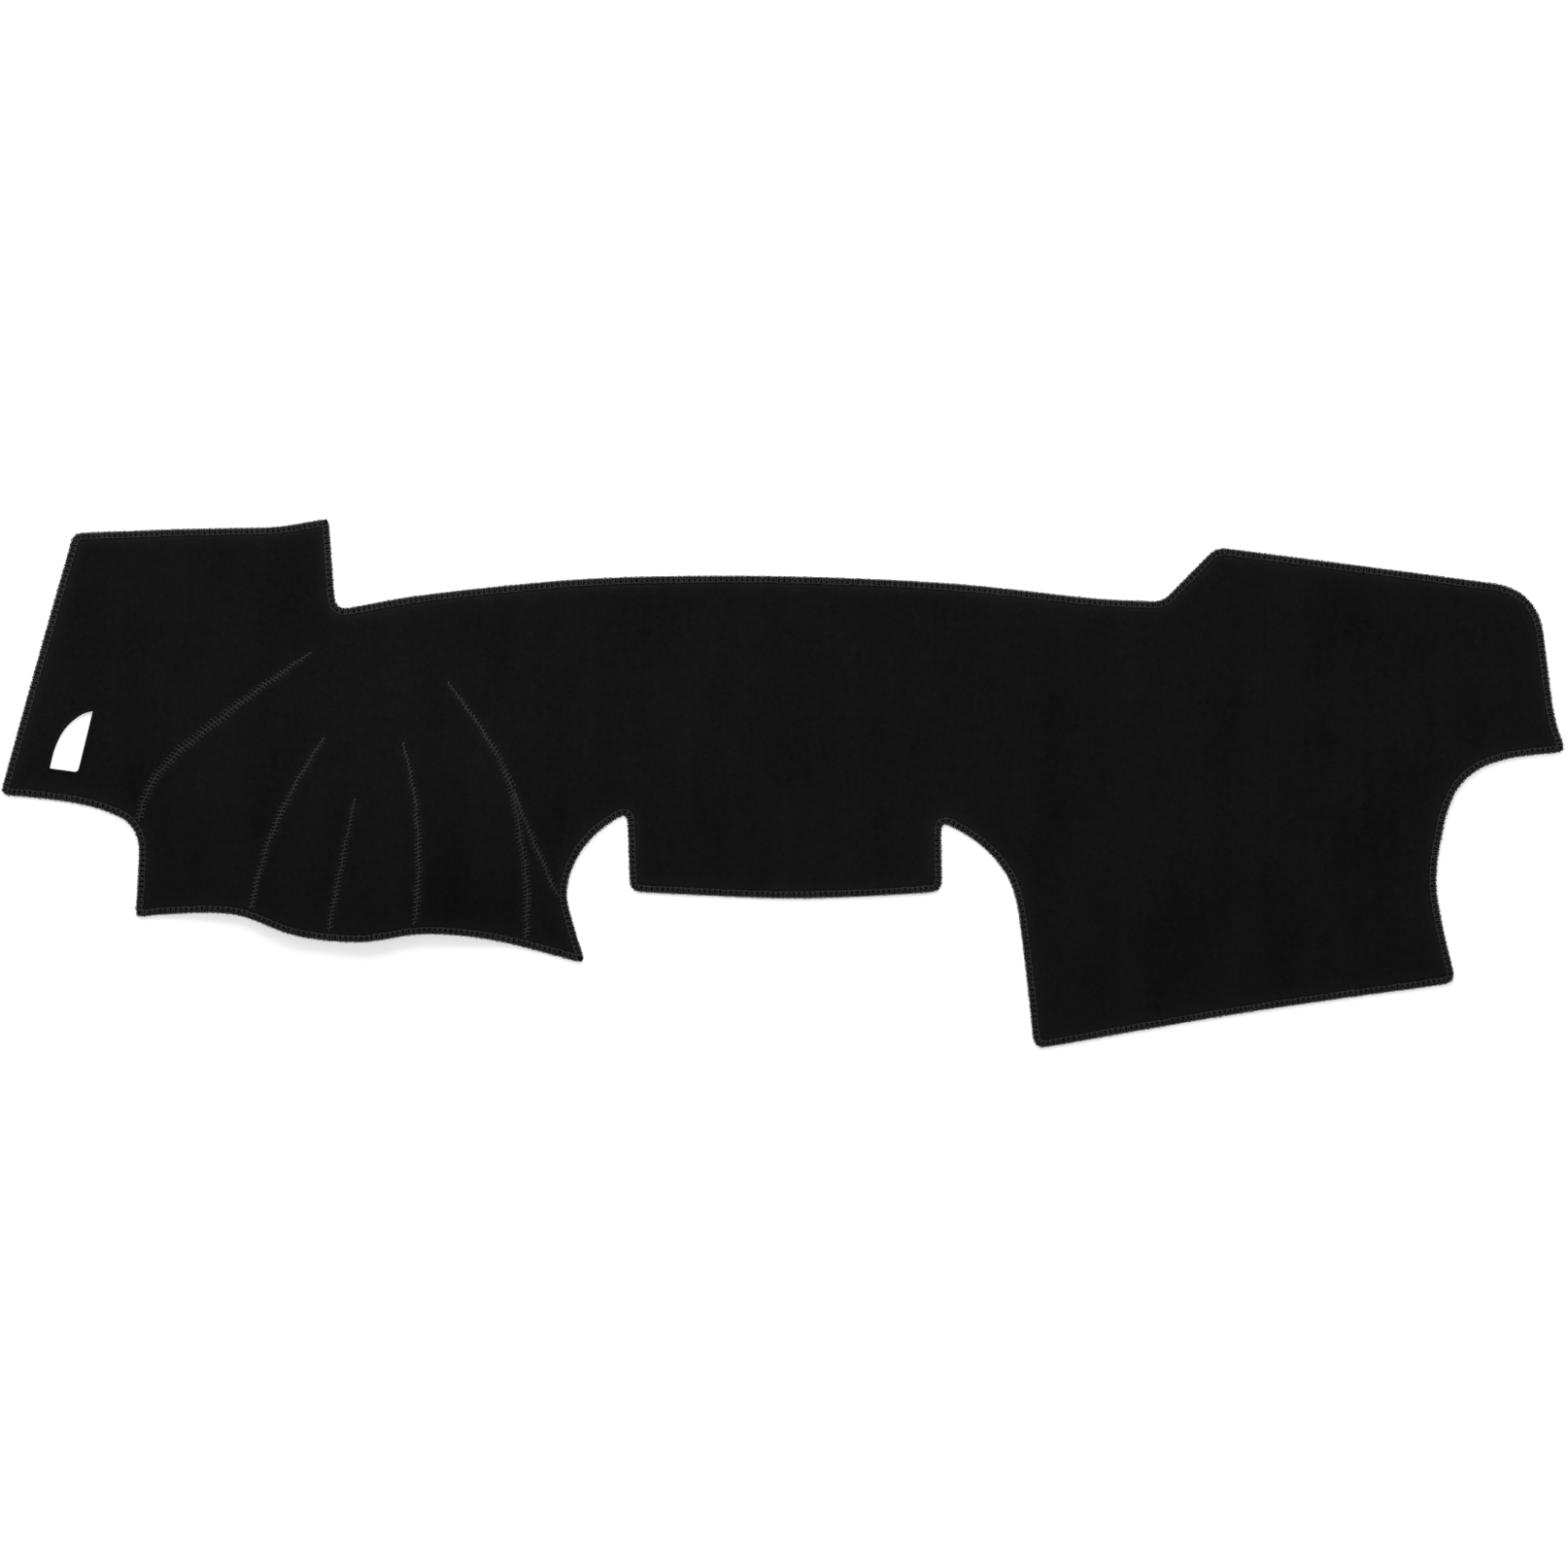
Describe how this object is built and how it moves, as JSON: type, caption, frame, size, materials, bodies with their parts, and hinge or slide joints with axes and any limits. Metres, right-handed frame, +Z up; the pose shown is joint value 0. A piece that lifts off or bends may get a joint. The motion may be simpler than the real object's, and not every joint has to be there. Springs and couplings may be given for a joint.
{
  "type": "dashboard cover mat",
  "caption": "Fitted velour mat that covers a car dashboard, with an oversewn rim and a darted dome over the instrument binnacle.",
  "frame": {"origin": "under the middle of the mat's outline, on the surface that the mat lies on", "axes": "+X across the car to the right, +Y towards the windscreen, +Z up out of the pile side"},
  "size_m": [1.4487, 0.4904, 0.0329],
  "materials": {
    "velour": "short-pile black velour, matt, with a faint nap",
    "thread": "black textured polyester sewing thread, slightly lustrous"
  },
  "bodies": {
    "root": {"cloth_panel": "velour", "edge_overlock": "thread", "dart_stitch_1": "thread", "dart_stitch_2": "thread", "dart_stitch_3": "thread", "dart_stitch_4": "thread", "dart_stitch_5": "thread", "dart_stitch_6": "thread"}
  },
  "joints": []
}
